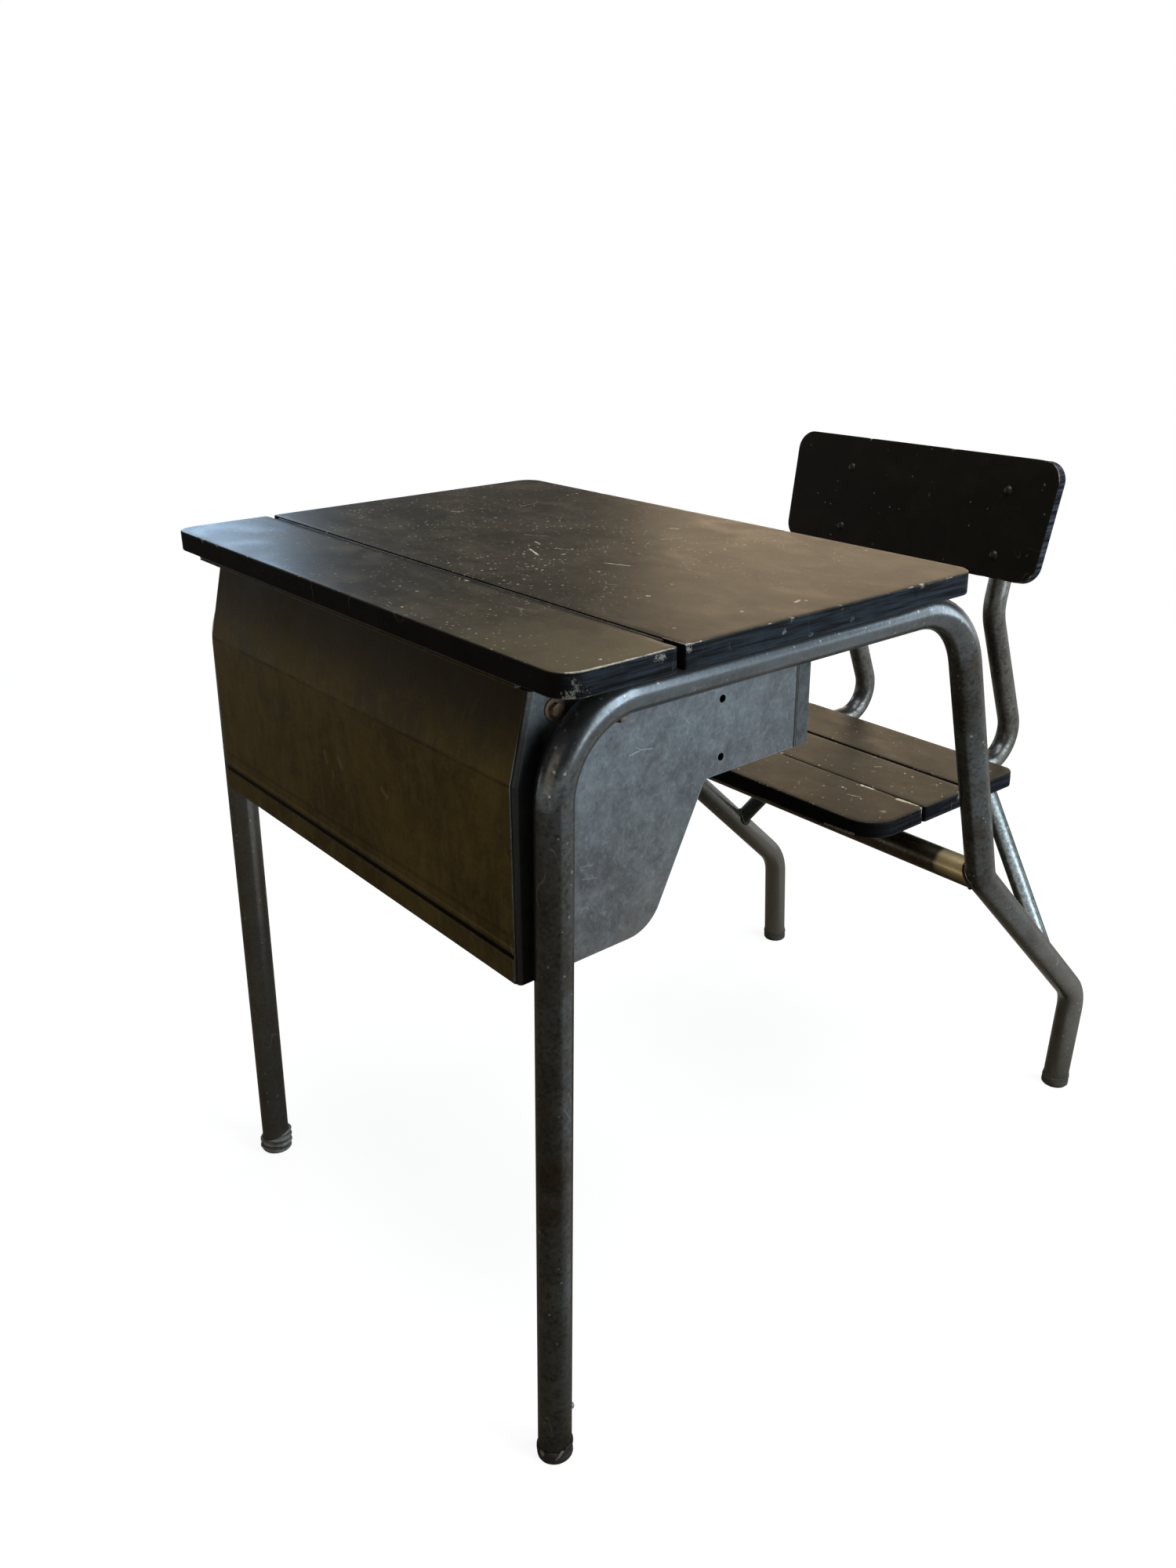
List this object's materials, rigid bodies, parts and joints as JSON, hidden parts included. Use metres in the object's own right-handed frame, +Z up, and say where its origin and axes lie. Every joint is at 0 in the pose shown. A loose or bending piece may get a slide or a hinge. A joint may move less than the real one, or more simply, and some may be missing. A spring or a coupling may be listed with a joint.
{
  "type": "school desk with lift lid",
  "caption": "One-seat school desk: tube frame, hinged board lid over a sheet-metal book box, and a joined slatted seat with a backrest.",
  "frame": {"origin": "on the floor below the middle of the whole desk", "axes": "+Z up, +Y from the desk's front edge towards the seat and its sitter, +X towards the sitter's left"},
  "size_m": [0.632, 0.8566, 0.7647],
  "materials": {
    "frame_paint": "worn dark grey paint on steel tube",
    "seat_tube": "dull dark steel tube, rubbed brighter",
    "rubber": "matt black",
    "dark_board": "satin dark varnish, arrises rubbed pale",
    "box_paint": "satin dark olive brown, stained",
    "zinc_sheet": "mottled blue grey sheet steel",
    "fastener": "dull zinc",
    "hinge_steel": "dull dark steel"
  },
  "bodies": {
    "desk": {"backrest_board": "dark_board", "backrest_bolts": "fastener", "backrest_nuts": "fastener", "box_bottom": "box_paint", "box_front_panel": "box_paint", "box_rear_panel": "box_paint", "box_seam_strips": "box_paint", "box_side_left": "zinc_sheet", "box_side_right": "zinc_sheet", "bracket_screws": "fastener", "corner_bolts": "fastener", "corner_brackets": "fastener", "corner_nuts": "fastener", "corner_washers": "fastener", "cross_tube": "frame_paint", "flange_screws": "fastener", "foot_front_left": "rubber", "foot_front_right": "rubber", "foot_rear_left": "rubber", "foot_rear_right": "rubber", "foot_screws": "fastener", "hinge_leaf_fixed": "hinge_steel", "hinge_pin": "hinge_steel", "hinge_screws_fixed": "fastener", "lid_buffers": "rubber", "rail_spacers": "frame_paint", "seat_rail_left": "seat_tube", "seat_rail_right": "seat_tube", "seat_screws": "fastener", "seat_slat_front": "dark_board", "seat_slat_middle": "dark_board", "seat_slat_rear": "dark_board", "seat_stay_left": "seat_tube", "seat_stay_right": "seat_tube", "side_frame_left": "frame_paint", "side_frame_right": "frame_paint", "strip_bolts": "fastener", "top_strip": "dark_board"},
    "lid": {"lid_board": "dark_board", "hinge_leaf_moving": "hinge_steel", "hinge_screws_moving": "fastener"}
  },
  "joints": [
    {"name": "lid_hinge", "type": "hinge", "parent": "desk", "child": "lid", "pos_m": [0, -0.31479, 0.7265], "axis": [1, 0, 0], "range_deg": [0, 100]}
  ]
}
